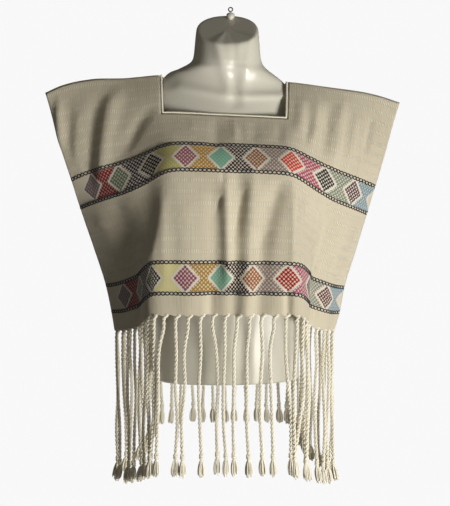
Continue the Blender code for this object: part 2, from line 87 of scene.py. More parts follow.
# %% Wires between nodes
class Wire:
    """An output of a node. Arithmetic on wires adds Math nodes, and make() adds any other node."""

    def __init__(self, tree, socket=None):
        self.tree = tree
        self.socket = socket

    def make(self, kind, settings=None, inputs=None, output=0):
        node = self.tree.nodes.new(kind)
        settings = dict(settings or {})
        stops = settings.pop("stops", None)
        for name, value in settings.items():
            setattr(node, name, value)
        if stops:
            ramp = node.color_ramp
            ramp.interpolation = "CONSTANT"
            while len(ramp.elements) < len(stops):
                ramp.elements.new(1.0)
            for element, (place, colour) in zip(ramp.elements, stops):
                element.position = place
                element.color = colour
        for name, value in (inputs or {}).items():
            if isinstance(value, Wire):
                self.tree.links.new(value.socket, node.inputs[name])
            else:
                node.inputs[name].default_value = value
        return Wire(self.tree, node.outputs[output])

    def maths(self, operation, *values):
        return self.make("ShaderNodeMath", {"operation": operation}, dict(enumerate(values)))

    def __add__(self, other):
        return self.maths("ADD", self, other)

    def __sub__(self, other):
        return self.maths("SUBTRACT", self, other)

    def __rsub__(self, other):
        return self.maths("SUBTRACT", other, self)

    def __mul__(self, other):
        return self.maths("MULTIPLY", self, other)

    def __truediv__(self, other):
        return self.maths("DIVIDE", self, other)

    def __gt__(self, other):
        return self.maths("GREATER_THAN", self, other)

    def __lt__(self, other):
        return self.maths("LESS_THAN", self, other)

    def __abs__(self):
        return self.maths("ABSOLUTE", self)

    __radd__ = __add__
    __rmul__ = __mul__

    def floor(self):
        return self.maths("FLOOR", self)

    def sine(self):
        return self.maths("SINE", self)

    def cosine(self):
        return self.maths("COSINE", self)

    def vector(self, operation, *values):
        return self.make("ShaderNodeVectorMath", {"operation": operation}, dict(enumerate(values)))

    def scaled(self, factor):
        return self.make("ShaderNodeVectorMath", {"operation": "SCALE"}, {0: self, "Scale": factor})

    def between(self, first, second, blend="MIX"):
        """A colour between two others, with this wire as the share of the second."""
        settings = {"data_type": "RGBA", "blend_type": blend}
        colours = [c if isinstance(c, Wire) else (*c, 1.0) for c in (first, second)]
        return self.make("ShaderNodeMix", settings, {0: self, 6: colours[0], 7: colours[1]}, output=2)

    def noise(self, place, scale, detail=2.0):
        settings = {"noise_dimensions": "3D"}
        inputs = {"Vector": place, "Scale": scale, "Detail": detail}
        return self.make("ShaderNodeTexNoise", settings, inputs)


def new_finish(name, roughness):
    """A material with its shader, and a loose wire to build its pattern from."""
    material = bpy.data.materials.new(name)
    material.use_nodes = True
    shader = material.node_tree.nodes["Principled BSDF"]
    shader.inputs["Roughness"].default_value = roughness
    return material, shader, Wire(material.node_tree)


def plug(wire, shader, name):
    wire.tree.links.new(wire.socket, shader.inputs[name])


def raise_surface(wire, shader, height, depth):
    """Let a height of 0 to 1 stand out of the surface by a depth in metres."""
    inputs = {"Height": height, "Strength": 1.0, "Distance": depth}
    plug(wire.make("ShaderNodeBump", {}, inputs), shader, "Normal")


# %% Plain meshes
def new_piece(name, points, faces):
    """A smooth mesh object of its own, from points in the model's frame."""
    mesh = bpy.data.meshes.new(name)
    mesh.from_pydata([tuple(place) for place in points], [], faces)
    mesh.shade_smooth()
    piece = bpy.data.objects.new(name, mesh)
    bpy.context.scene.collection.objects.link(piece)
    return piece


def loft(name, rings):
    """Rings of points in the cloth's frame, joined one to the next and closed at both ends."""
    sides = len(rings[0])
    faces = []
    for start in range(0, (len(rings) - 1) * sides, sides):
        for k in range(sides):
            m = (k + 1) % sides
            faces.append((start + k, start + m, start + sides + m, start + sides + k))
    last = (len(rings) - 1) * sides
    faces.append(tuple(reversed(range(sides))))
    faces.append(tuple(range(last, last + sides)))
    return new_piece(name, np.concatenate(rings) - HANG_POINT, faces)


# %% [markdown]
# ## How the cloth hangs
#
# A flat place on the cloth is given by how far across it is and how far down from the shoulder fold. The
# functions below move that place to where it hangs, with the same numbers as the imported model, so cloth and
# model agree. They work on whole arrays of places at once, because the grid is fine.

# %% Sizes of the cloth
CLOTH_WIDTH = 0.620
PANEL_DROP = 0.440
HALF = CLOTH_WIDTH / 2
NECK_LEFT = -0.110
NECK_RIGHT = 0.1155
NECK_FRONT_DROP = 0.085
NECK_BACK_DROP = 0.075
CORNER_SHIFT = 0.0035
MIDDLE_HEIGHT = -0.005
ARMHOLE = 0.230
ARMHOLE_GAPE = 0.020
TURN_SOFTNESS = 0.009
SEAM_GAP = 0.0003
HANG_POINT = np.array((0.0144, 0.045, 0.1212))

Shoulder = namedtuple("Shoulder", "across height")
SHOULDER = [
    Shoulder(-0.310, -0.0305),
    Shoulder(-0.280, -0.0175),
    Shoulder(-0.247, -0.0095),
    Shoulder(-0.214, -0.0058),
    Shoulder(-0.176, -0.0055),
    Shoulder(-0.150, -0.0034),
    Shoulder(-0.110, 0.0000),
    Shoulder(0.000, -0.0050),
    Shoulder(0.115, -0.0118),
    Shoulder(0.187, -0.0211),
    Shoulder(0.2415, -0.0287),
    Shoulder(0.2713, -0.0352),
    Shoulder(0.310, -0.0477),
]
Course = namedtuple("Course", "down out drop")
FRONT_COURSE = [
    Course(0.000, 0.000, 0.0000),
    Course(0.045, 0.029, 0.0340),
    Course(0.085, 0.051, 0.0670),
    Course(0.120, 0.0725, 0.0915),
    Course(0.155, 0.0935, 0.1165),
    Course(0.206, 0.1175, 0.1588),
    Course(0.354, 0.120, 0.3098),
    Course(0.404, 0.119, 0.3612),
    Course(0.440, 0.117, 0.3960),
]
BACK_COURSE = [
    Course(0.000, 0.000, 0.0000),
    Course(0.040, 0.039, 0.0070),
    Course(0.075, 0.072, 0.0190),
    Course(0.120, 0.099, 0.0540),
    Course(0.200, 0.112, 0.1320),
    Course(0.300, 0.113, 0.2320),
    Course(0.440, 0.108, 0.3720),
]
Turn = namedtuple("Turn", "down left right gather left_bow right_bow sink")
TURNS = [
    Turn(0.000, 0.165, 0.165, 1.000, 0.00, 0.00, 2.00),
    Turn(0.085, 0.122, 0.144, 0.955, -0.08, -0.10, 1.95),
    Turn(0.155, 0.101, 0.128, 0.905, -0.12, -0.16, 2.05),
    Turn(0.206, 0.101, 0.128, 0.904, -0.12, -0.16, 2.05),
    Turn(0.280, 0.116, 0.133, 0.920, 0.15, 0.10, 1.75),
    Turn(0.354, 0.134, 0.137, 0.931, 0.42, 0.36, 1.50),
    Turn(0.440, 0.134, 0.137, 0.930, 0.42, 0.36, 1.50),
]
Side = namedtuple("Side", "down left right drop")
SIDES = [
    Side(0.000, 0.3100, 0.3100, 0.0000),
    Side(0.085, 0.2850, 0.2840, 0.0875),
    Side(0.155, 0.2645, 0.2647, 0.1600),
    Side(0.206, 0.2512, 0.2519, 0.2130),
    Side(0.280, 0.2290, 0.2320, 0.2860),
    Side(0.354, 0.2081, 0.2116, 0.3590),
    Side(0.404, 0.1990, 0.2030, 0.4080),
    Side(0.440, 0.1942, 0.1940, 0.4420),
]

# %% [markdown]
# ## Creases
#
# Each crease is one soft ridge, or a trough where its height is below zero. The first rows of each table are
# the large folds of the imported model. The rest are the small ones: short pulls from the neck and over the
# shoulders, a pinch above the hem, and like ones behind, where nothing shows how they lie.

# %% Crease tables
Crease = namedtuple("Crease", "across reach height top bottom lean")
FRONT_CREASES = [
    Crease(0.004, 0.0085, 0.0075, 0.215, 0.405, 0.004),
    Crease(-0.016, 0.0150, -0.0055, 0.225, 0.440, 0.000),
    Crease(0.030, 0.0140, -0.0060, 0.190, 0.440, -0.012),
    Crease(0.052, 0.0150, 0.0055, 0.190, 0.440, -0.016),
    Crease(0.108, 0.0165, -0.0080, 0.205, 0.350, -0.050),
    Crease(0.072, 0.0160, -0.0055, 0.290, 0.440, -0.012),
    Crease(-0.070, 0.0200, 0.0030, 0.240, 0.440, 0.006),
    Crease(-0.144, 0.0190, -0.0030, 0.170, 0.440, 0.008),
    Crease(-0.213, 0.0200, -0.0035, 0.190, 0.440, -0.006),
    Crease(-0.262, 0.0230, 0.0030, 0.200, 0.440, -0.004),
    Crease(0.213, 0.0200, -0.0080, 0.190, 0.440, 0.004),
    Crease(0.262, 0.0230, 0.0070, 0.200, 0.440, 0.004),
    Crease(-0.184, 0.0170, 0.0065, 0.010, 0.190, -0.058),
    Crease(-0.216, 0.0160, -0.0050, 0.020, 0.190, -0.052),
    Crease(-0.289, 0.0085, 0.0060, 0.004, 0.115, -0.022),
    Crease(-0.124, 0.0160, -0.0045, 0.055, 0.160, -0.070),
    Crease(-0.014, 0.0140, -0.0035, 0.080, 0.185, 0.002),
    Crease(0.140, 0.0090, 0.0035, 0.025, 0.130, -0.004),
    Crease(0.168, 0.0090, 0.0040, 0.025, 0.150, -0.008),
    Crease(0.212, 0.0110, 0.0045, 0.010, 0.170, -0.012),
    Crease(0.0175, 0.0075, 0.0025, 0.084, 0.170, 0.006),
    Crease(0.055, 0.0090, -0.0020, 0.084, 0.165, 0.004),
    Crease(0.100, 0.0090, -0.0020, 0.084, 0.165, 0.004),
    Crease(-0.052, 0.0090, 0.0012, 0.084, 0.150, -0.006),
    Crease(-0.001, 0.0030, -0.0022, 0.200, 0.236, 0.000),
    Crease(0.001, 0.0045, -0.0028, 0.236, 0.286, -0.017),
    Crease(0.048, 0.0085, -0.0040, 0.205, 0.330, -0.034),
    Crease(0.128, 0.0070, 0.0022, 0.200, 0.390, -0.008),
    Crease(-0.0255, 0.0080, -0.0045, 0.385, 0.440, 0.000),
    Crease(0.113, 0.0070, -0.0055, 0.380, 0.440, 0.000),
    Crease(-0.112, 0.0090, 0.0016, 0.230, 0.400, 0.010),
    Crease(-0.250, 0.0080, 0.0016, 0.030, 0.150, -0.040),
    Crease(-0.268, 0.0070, -0.0016, 0.020, 0.130, -0.030),
    Crease(0.155, 0.0055, -0.0022, 0.060, 0.150, -0.006),
    Crease(0.188, 0.0065, -0.0026, 0.030, 0.150, -0.006),
    Crease(0.240, 0.0075, 0.0020, 0.030, 0.160, -0.010),
    Crease(0.268, 0.0060, -0.0022, 0.020, 0.130, -0.006),
]
BACK_CREASES = [
    Crease(0.000, 0.0170, -0.0060, 0.200, 0.440, 0.006),
    Crease(0.052, 0.0160, 0.0055, 0.180, 0.440, 0.010),
    Crease(-0.060, 0.0180, 0.0055, 0.210, 0.440, -0.008),
    Crease(-0.105, 0.0170, -0.0060, 0.230, 0.440, 0.010),
    Crease(0.104, 0.0160, -0.0055, 0.240, 0.440, -0.006),
    Crease(-0.214, 0.0210, -0.0080, 0.190, 0.440, -0.004),
    Crease(-0.262, 0.0230, 0.0070, 0.200, 0.440, 0.000),
    Crease(0.214, 0.0210, -0.0080, 0.190, 0.440, 0.006),
    Crease(0.262, 0.0230, 0.0070, 0.200, 0.440, 0.004),
    Crease(-0.180, 0.0160, 0.0050, 0.020, 0.180, -0.010),
    Crease(0.172, 0.0170, 0.0050, 0.025, 0.170, 0.008),
    Crease(-0.030, 0.0070, 0.0018, 0.090, 0.180, -0.006),
    Crease(0.028, 0.0060, -0.0020, 0.150, 0.260, 0.004),
    Crease(0.082, 0.0080, 0.0018, 0.210, 0.360, 0.008),
    Crease(-0.084, 0.0065, -0.0020, 0.240, 0.400, -0.006),
    Crease(-0.140, 0.0080, 0.0018, 0.120, 0.260, -0.010),
    Crease(0.136, 0.0070, -0.0020, 0.150, 0.300, 0.006),
    Crease(0.016, 0.0055, -0.0024, 0.370, 0.440, -0.002),
    Crease(-0.206, 0.0075, -0.0022, 0.030, 0.150, -0.010),
    Crease(0.222, 0.0070, 0.0022, 0.020, 0.140, 0.008),
]
CREASE_FADE = 0.045
EDGE_FADE = 0.020


# %% From flat cloth to hanging cloth
def mix(start, end, share):
    return start + (end - start) * share


def read(table, at, column):
    """Read one column of a table between its rows, on a curve that never overshoots them."""
    places = np.array([row[0] for row in table])
    values = np.array([getattr(row, column) for row in table])
    slopes = np.diff(values) / np.diff(places)
    product = slopes[:-1] * slopes[1:]
    total = np.where(product > 0, slopes[:-1] + slopes[1:], 1.0)
    tangents = np.concatenate((slopes[:1], np.where(product > 0, 2 * product / total, 0.0), slopes[-1:]))
    at = np.clip(at, places[0], places[-1])
    span = np.clip(np.searchsorted(places, at) - 1, 0, len(slopes) - 1)
    width = places[span + 1] - places[span]
    t = (at - places[span]) / width
    start = (1 + 2 * t) * (1 - t) ** 2 * values[span] + t * (1 - t) ** 2 * width * tangents[span]
    end = t * t * (3 - 2 * t) * values[span + 1] + t * t * (t - 1) * width * tangents[span + 1]
    return start + end


def ramp(length):
    return TURN_SOFTNESS * np.log1p(np.exp(length / TURN_SOFTNESS))


def fade(value, width):
    t = np.clip(value / width, 0.0, 1.0)
    return t * t * (3 - 2 * t)


def unit(vectors):
    return vectors / np.linalg.norm(vectors, axis=-1, keepdims=True)


def hang(face, across, down):
    """Where places of the flat cloth hang before their creases; face is -1 in front and 1 behind."""
    on_right = across > 0
    side = np.where(on_right, 1.0, -1.0)
    fall = down / PANEL_DROP
    turn = np.where(on_right, read(TURNS, down, "right"), read(TURNS, down, "left"))
    bow = np.where(on_right, read(TURNS, down, "right_bow"), read(TURNS, down, "left_bow"))
    edge = np.where(on_right, read(SIDES, down, "right"), read(SIDES, down, "left"))
    gather = read(TURNS, down, "gather")
    past = ramp(np.abs(across) - turn)
    most = ramp(HALF - turn)
    share = np.minimum(past / most, 1.0)
    bowed = share + bow * (share**3 - share)
    sunk = 1 - (1 - share) ** read(TURNS, down, "sink")
    start = (np.abs(across) - past) * gather
    rest = edge - (HALF - most) * gather
    course = FRONT_COURSE if face < 0 else BACK_COURSE
    gape = ARMHOLE_GAPE * np.sin(np.pi * np.minimum(down / ARMHOLE, 1.0)) ** 2
    out = mix(read(course, down, "out"), gape, share)
    drop = mix(read(course, down, "drop"), read(SIDES, down, "drop"), sunk)
    top = mix(read(SHOULDER, across, "height"), MIDDLE_HEIGHT, fall)
    x = side * (start + rest * bowed) + CORNER_SHIFT * fall
    return np.stack((x, face * (SEAM_GAP / 2 + out), top - drop), axis=-1)


def outward(surface, face, across, down):
    """The directions out of a surface of the cloth, from small steps along it."""
    step = 0.001
    left = surface(face, np.maximum(across - step, -HALF), down)
    right = surface(face, np.minimum(across + step, HALF), down)
    above = surface(face, across, np.maximum(down - step, 0.0))
    below = surface(face, across, np.minimum(down + step, PANEL_DROP))
    return unit(np.cross(right - left, below - above) * face)


def crease_height(face, across, down):
    total = np.zeros(np.broadcast(across, down).shape)
    for crease in FRONT_CREASES if face < 0 else BACK_CREASES:
        along = (down - crease.top) / (crease.bottom - crease.top)
        centre = crease.across + crease.lean * along
        softness = min(CREASE_FADE, (crease.bottom - crease.top) / 2)
        start = fade(down - crease.top, softness)
        end = 1.0 if crease.bottom >= PANEL_DROP else fade(crease.bottom - down, softness)
        total += crease.height * np.exp(-(((across - centre) / crease.reach) ** 2)) * start * end
    sewn = fade(down - ARMHOLE / 2, ARMHOLE / 2)
    return total * mix(1.0, fade(HALF - np.abs(across), EDGE_FADE), sewn)


def cloth(face, across, down):
    across, down = np.broadcast_arrays(np.asarray(across, float), np.asarray(down, float))
    lift = crease_height(face, across, down)
    return hang(face, across, down) + outward(hang, face, across, down) * lift[..., None]


# %% [markdown]
# ## The cloth as one tube
#
# Front and back are one length of cloth, joined at the shoulder fold and sewn together below the armholes. So
# the mesh is one grid for each half, with shared points along the fold and the side seams. A UV map keeps the
# flat place of every corner, in metres, and the brocade is drawn on that. Solidify gives the cloth its
# thickness. The hem runs down to the foot of each cord and rises in a small arch between two cords.

# %% Fringe places and the grid
CORDS_A_SIDE = 29
CORD_EDGE = 0.0055
STRIP_HEIGHT = 0.006
CLOTH_THICKNESS = 0.0014
COLUMN_STEP = 0.0037
ROW_STEP = 0.0040
CORD_PITCH = (CLOTH_WIDTH - 2 * CORD_EDGE) / (CORDS_A_SIDE - 1)
ROOTS = [-HALF + CORD_EDGE + CORD_PITCH * k for k in range(CORDS_A_SIDE)]


def steps(stops, step):
    """Places from the first stop to the last, evenly spaced between stops and never wider than a step."""
    places = [stops[0]]
    for start, end in zip(stops, stops[1:]):
        count = max(1, math.ceil((end - start) / step - 0.001))
        places += [round(mix(start, end, (i + 1) / count), 6) for i in range(count)]
    return places


def hem_foot(across):
    """Share of the way from the hem's arches down to the cords' feet."""
    nearest = np.abs(across[:, None] - np.array(ROOTS)).min(axis=1)
    inward = 1 - np.clip(nearest / (CORD_PITCH / 2), 0.0, 1.0)
    return 1 - np.sqrt(1 - inward**2)


columns = np.array(steps(sorted([-HALF, NECK_LEFT, NECK_RIGHT, HALF, *ROOTS]), COLUMN_STEP))
rows = np.array(steps([0.0, NECK_BACK_DROP, NECK_FRONT_DROP, ARMHOLE, PANEL_DROP], ROW_STEP))
print(f"{len(columns)} columns and {len(rows)} rows for each half of the cloth")


# %% Build the tube
def panel_points(face):
    """Hanging points of one half, with two rows more at the hem for its arches."""
    points = cloth(face, columns[:, None], rows[None, :])
    foot = STRIP_HEIGHT * hem_foot(columns)
    hem = points[:, -1:, :].repeat(2, axis=1)
    hem[:, 0, 2] -= foot / 2
    hem[:, 1, 2] -= foot
    return np.concatenate((points, hem), axis=1) - HANG_POINT


def make_cloth():
    points = []
    uvs = []
    faces = []
    downs = np.concatenate((rows, [PANEL_DROP + 0.001, PANEL_DROP + 0.002]))
    shared = {}
    for face, neck_drop in ((-1, NECK_FRONT_DROP), (1, NECK_BACK_DROP)):
        grid = panel_points(face)
        numbers = {}
        for i, across in enumerate(columns):
            for j, down in enumerate(downs):
                in_hole = NECK_LEFT < across < NECK_RIGHT and down < neck_drop
                if in_hole:
                    continue
                seam = down == 0.0 or (abs(across) == HALF and down >= ARMHOLE)
                if seam and (i, j) in shared:
                    numbers[i, j] = shared[i, j]
                    continue
                place = grid[i, j].copy()
                if seam:
                    place[1] = -HANG_POINT[1]
                    shared[i, j] = len(points)
                numbers[i, j] = len(points)
                points.append(place)
        for i in range(len(columns) - 1):
            for j in range(len(downs) - 1):
                corners = [(i, j), (i + 1, j), (i + 1, j + 1), (i, j + 1)]
                if face < 0:
                    corners.reverse()
                hole = downs[j] < neck_drop and NECK_LEFT <= columns[i] < NECK_RIGHT
                if hole:
                    continue
                faces.append([numbers[corner] for corner in corners])
                uvs += [(columns[a], -face * downs[b]) for a, b in corners]
    piece = new_piece("brocaded_cloth", points, faces)
    flat = piece.data.uv_layers.new(name="flat")
    flat.data.foreach_set("uv", np.array(uvs, np.float32).ravel())
    wall = piece.modifiers.new("thickness", "SOLIDIFY")
    wall.thickness = CLOTH_THICKNESS
    wall.offset = 0.0
    return piece


brocaded_cloth = make_cloth()
print(f"cloth: {len(brocaded_cloth.data.polygons)} quads before its thickness")

# %% [markdown]
# ## The brocade
#
# Extra coloured yarn is laid in by hand while the ground is woven, so the motifs are made of whole weave
# cells. The shader first snaps the flat place to those cells, then asks which shape the cell is in: a diamond
# or an hourglass. Each shape's dye is read from a chart, with a second colour where the lower band's yarn
# differs from the upper band's, and the share of light cells that net it. Two bands run across each half,
# each between two chains of dark yarn. Rows of short upright floats lie between them. All of it stands a
# little proud of the plain ground.

# %% Dyes and the chart
Dye = namedtuple("Dye", "name net upper lower", defaults=[None])
DYES = [
    Dye("bare", 0.0, (222, 211, 186)),
    Dye("bare", 0.0, (222, 211, 186)),
    Dye("mauve", 0.3, (125, 105, 108)),
    Dye("deep red", 0.4, (135, 14, 26)),
    Dye("sage", 0.9, (112, 132, 100), (120, 128, 108)),
    Dye("purple", 1.0, (52, 26, 50)),
    Dye("forest", 1.0, (34, 32, 22)),
    Dye("straw", 0.35, (196, 186, 112), (224, 214, 150)),
    Dye("rose", 0.95, (160, 78, 100), (150, 78, 100)),
    Dye("mustard", 0.9, (192, 142, 34), (176, 134, 44)),
    Dye("mint", 0.25, (124, 184, 156), (124, 176, 150)),
    Dye("umber", 1.0, (50, 26, 24)),
    Dye("rust", 1.0, (156, 92, 40), (158, 92, 42)),
    Dye("taupe", 0.8, (150, 130, 120)),
    Dye("scarlet", 1.0, (222, 56, 26), (172, 28, 24)),
    Dye("plum", 0.9, (182, 68, 98), (176, 76, 106)),
    Dye("black", 1.0, (30, 26, 26), (26, 24, 26)),
    Dye("moss", 0.8, (130, 140, 120), (136, 140, 122)),
    Dye("wine", 1.0, (80, 38, 54), (96, 34, 50)),
    Dye("sky", 0.8, (122, 152, 166)),
    Dye("bare", 0.0, (222, 211, 186)),
]
FIRST_SHAPE = -10
CHART_PITCH = 0.0645
CHART_MIDDLE = -0.0043
CHAIN_ROWS = (0.1555, 0.2060, 0.3535, 0.4035)
BAND_CENTRES = (0.1808, 0.3785)
BAND_HALF = 0.0222
DIAMOND_HALF_WIDTH = 0.330
DIAMOND_HALF_HEIGHT = 0.0213
OUTLINE = 0.24
SLIP = 0.0135
SLIP_MIDDLE = 0.085
SLIP_REACH = 0.105
DOT_PITCH = CHART_PITCH / 9
CELL_ACROSS = 0.0009
CELL_DOWN = 0.0010
FLOAT_PITCH = 0.0187
FLOAT_START = 0.0095
FLOAT_SHIFT = 0.0083
FLOAT_HALF = 0.0031
FLOAT_SPACING = 0.0031
FLOAT_CUT = -0.10
DOT_CUT = 0.22
UPPER_CLEAR = 0.006
LOWER_CLEAR = 0.008
WANDER_ACROSS = 0.0022
WANDER_DOWN = 0.0012
WARP_PITCH = 0.0011
WEFT_PITCH = 0.0012
WEAVE_DEPTH = 0.0011
DARK_GROUND = (0.60, 0.53, 0.39)
LIGHT_GROUND = (0.73, 0.66, 0.50)
OUTLINE_YARN = (0.90, 0.86, 0.78)
# painted shade for the gaps between the floats
PAINTED_GAP_SHADE = (0.27, 0.215, 0.125)
FLOAT_YARN = (0.95, 0.90, 0.74)
BLACK = (0.0, 0.0, 0.0)


# %% Brocade material
def linear(seen):
    """The light a colour stands for, from its three values of 0 to 255 on a screen."""
    return tuple((channel / 255) ** 2.2 for channel in seen)


def cell_middle(wire, size):
    return ((wire / size).floor() + 0.5) * size


def make_brocade():
    material, shader, new = new_finish("brocade", 0.88)
    flat = new.make("ShaderNodeUVMap", {"uv_map": "flat"})
    across = new.make("ShaderNodeSeparateXYZ", {}, {0: flat}, output=0)
    down = abs(new.make("ShaderNodeSeparateXYZ", {}, {0: flat}, output=1))
    wander = new.noise(flat, 75.0, 1.0) - 0.5
    cell_u = cell_middle(across + wander * WANDER_ACROSS, CELL_ACROSS)
    cell_v = cell_middle(down + wander * WANDER_DOWN, CELL_DOWN)

    lower = cell_v > sum(BAND_CENTRES) / 2
    from_middle = cell_v - (BAND_CENTRES[0] + lower * (BAND_CENTRES[1] - BAND_CENTRES[0]))
    in_band = abs(from_middle) < BAND_HALF
    near_slip = (across - SLIP_MIDDLE) / SLIP_REACH
    slip = new.maths("MAXIMUM", 1.0 - near_slip * near_slip, 0.0)
    from_chart = cell_u - CHART_MIDDLE + lower * slip * slip * SLIP
    place = from_chart / CHART_PITCH
    diamond = (place + 0.5).floor()
    reach = abs(place - diamond) / DIAMOND_HALF_WIDTH + abs(from_middle) / DIAMOND_HALF_HEIGHT
    in_diamond = reach < 1.0 + OUTLINE / 2
    hourglass = place.floor() * 2.0 + 1.0
    number = in_diamond * (diamond * 2.0) + (1.0 - in_diamond) * hourglass
    count = len(DYES)
    slot = (number - FIRST_SHAPE + 0.5) / count
    upper_stops = [(i / count, (*linear(dye.upper), dye.net)) for i, dye in enumerate(DYES)]
    lower_stops = [(i / count, (*linear(dye.lower or dye.upper), dye.net)) for i, dye in enumerate(DYES)]
    upper_dye = new.make("ShaderNodeValToRGB", {"stops": upper_stops}, {0: slot})
    lower_dye = new.make("ShaderNodeValToRGB", {"stops": lower_stops}, {0: slot})
    net = Wire(new.tree, upper_dye.socket.node.outputs["Alpha"])
    dye = lower.between(upper_dye, lower_dye)

    turn = 2 * math.pi / DOT_PITCH
    dots = (from_chart * turn).cosine() * (from_middle * turn).cosine() > DOT_CUT
    outline = (reach > 1.0) * (reach < 1.0 + OUTLINE)
    light = new.maths("MAXIMUM", outline, dots * net * 0.9)
    coloured = in_band * (1.0 - light)

    slub = new.noise(flat.vector("MULTIPLY", flat, (420.0, 14.0, 1.0)), 1.0, 3.0)
    patch = new.noise(flat, 22.0, 2.0)
    tone = slub * 0.20 + patch * 0.20 + 0.80
    ground = (slub * 1.0).between(DARK_GROUND, LIGHT_GROUND)
    base = coloured.between(ground, dye)
    base = (in_band * light * 0.45).between(base, OUTLINE_YARN)

    float_row = down - FLOAT_START - (down > BAND_CENTRES[0]) * FLOAT_SHIFT
    row_place = float_row / FLOAT_PITCH
    from_row = abs(row_place - (row_place + 0.5).floor()) * FLOAT_PITCH
    clear = (down < CHAIN_ROWS[0] - UPPER_CLEAR) + (down > CHAIN_ROWS[1] + UPPER_CLEAR)
    above_hem = down < CHAIN_ROWS[2] - LOWER_CLEAR
    worn = new.noise(flat.vector("MULTIPLY", flat, (16.0, 60.0, 1.0)), 1.0, 1.0) > 0.40
    in_row = (from_row < FLOAT_HALF) * clear * above_hem * (0.35 + 0.65 * worn)
    comb = ((across + wander * WANDER_DOWN) * (2 * math.pi / FLOAT_SPACING)).sine()
    gaps = in_row * (comb < FLOAT_CUT)
    floats = in_row * (comb > FLOAT_CUT)
    # painted shade: the gaps between the floats are darkened as if shade fell between them
    base = (gaps * 0.30).between(base, PAINTED_GAP_SHADE)
    base = (floats * 0.62).between(base, FLOAT_YARN)
    base = (1.0 * tone).between(BLACK, base)
    plug(base, shader, "Base Color")

    warp = (across * (2 * math.pi / WARP_PITCH)).sine() * 0.5 + 0.5
    weft = (down * (2 * math.pi / WEFT_PITCH)).sine() * 0.5 + 0.5
    relief = warp * 0.22 + slub * 0.25 + coloured * (0.30 + 0.25 * weft) + floats * 0.5 - gaps * 0.2
    raise_surface(new, shader, relief, WEAVE_DEPTH)
    shader.inputs["Sheen Weight"].default_value = 0.15
    shader.inputs["Sheen Roughness"].default_value = 0.6
    shader.inputs["Specular IOR Level"].default_value = 0.2
    return material


brocade = make_brocade()
brocaded_cloth.data.materials.append(brocade)
print(f"brocade: {len(brocade.node_tree.nodes)} nodes")

# %% [markdown]
# ## Twisted cord
#
# The neck binding, the chains beside the bands and the fringe are all two plies of yarn wound round each
# other. One Geometry Nodes tree makes them from polylines: it turns each line into a curve, moves two copies
# of it out on a spiral, sweeps a small ring along both and joins them. Its inputs are the ply's radius, how
# far the plies stand aside from the middle and rise over it, the length of a full turn, the step between two
# rings, and how round the loops between the plies are: 1 for a plain wave, and less for a rounder one.


# %% The cord tree
def cord_tree():
    tree = bpy.data.node_groups.new("twisted cord", "GeometryNodeTree")
    face = tree.interface
    face.new_socket("Lines", in_out="INPUT", socket_type="NodeSocketGeometry")
    for name in ("ply", "aside", "rise", "turn", "step", "roundness"):
        face.new_socket(name, in_out="INPUT", socket_type="NodeSocketFloat")
    for name in ("sides", "plies"):
        face.new_socket(name, in_out="INPUT", socket_type="NodeSocketInt")
    face.new_socket("finish", in_out="INPUT", socket_type="NodeSocketMaterial")
    face.new_socket("Cords", in_out="OUTPUT", socket_type="NodeSocketGeometry")
    entry = tree.nodes.new("NodeGroupInput")
    given = {socket.name: Wire(tree, socket) for socket in entry.outputs if socket.name}
    new = Wire(tree)

    line = new.make("GeometryNodeMeshToCurve", {}, {0: given["Lines"]})
    resample = {"mode": "LENGTH"}
    line = new.make("GeometryNodeResampleCurve", resample, {"Curve": line, "Length": given["step"]})
    length = new.make("GeometryNodeSplineParameter", {}, {}, output=1)
    along = {"data_type": "FLOAT", "domain": "POINT"}
    line = new.make("GeometryNodeStoreNamedAttribute", along, {0: line, "Name": "along", "Value": length})
    thick = new.make("GeometryNodeInputNamedAttribute", {"data_type": "FLOAT"}, {"Name": "thick"})
    out = new.make("GeometryNodeInputNamedAttribute", {"data_type": "FLOAT_VECTOR"}, {"Name": "out"})
    tangent = new.make("GeometryNodeInputTangent")
    aside = tangent.vector("CROSS_PRODUCT", tangent, out)
    aside = aside.vector("NORMALIZE", aside)
    up = aside.vector("CROSS_PRODUCT", aside, tangent)
    ring = {"Resolution": given["sides"], "Radius": given["ply"]}
    profile = new.make("GeometryNodeCurvePrimitiveCircle", {"mode": "RADIUS"}, ring)
    plies = []
    for phase in (0.0, math.pi):
        angle = length * (2 * math.pi) / given["turn"] + phase
        wave = angle.sine()
        swing = new.maths("SIGN", wave) * new.maths("POWER", abs(wave), given["roundness"])
        sideways = aside.scaled(swing * given["aside"] * thick)
        outwards = up.scaled(angle.cosine() * given["rise"] * thick)
        offset = sideways.vector("ADD", sideways, outwards)
        ply = new.make("GeometryNodeSetPosition", {}, {"Geometry": line, "Offset": offset})
        ply = new.make("GeometryNodeSetCurveRadius", {}, {"Curve": ply, "Radius": thick})
        inputs = {"Curve": ply, "Profile Curve": profile, "Fill Caps": True}
        radius = new.make("GeometryNodeInputRadius")
        sweep = new.make("GeometryNodeCurveToMesh", {}, inputs)
        if "Scale" in sweep.socket.node.inputs:
            tree.links.new(radius.socket, sweep.socket.node.inputs["Scale"])
        plies.append(sweep)
    both = tree.nodes.new("GeometryNodeJoinGeometry")
    for ply in reversed(plies):
        tree.links.new(ply.socket, both.inputs[0])
    both = Wire(tree, both.outputs[0])
    single = new.make("FunctionNodeCompare", {"data_type": "INT", "operation": "LESS_EQUAL"})
    tree.links.new(given["plies"].socket, single.socket.node.inputs[2])
    single.socket.node.inputs[3].default_value = 1
    choice = {"input_type": "GEOMETRY"}
    cords = new.make("GeometryNodeSwitch", choice, {0: single, "False": both, "True": plies[0]})
    cords = new.make("GeometryNodeSetShadeSmooth", {}, {0: cords})
    cords = new.make("GeometryNodeRealizeInstances", {}, {0: cords})
    cords = new.make("GeometryNodeSetMaterial", {}, {0: cords, "Material": given["finish"]})
    exit_node = tree.nodes.new("NodeGroupOutput")
    tree.links.new(cords.socket, exit_node.inputs[0])
    return tree


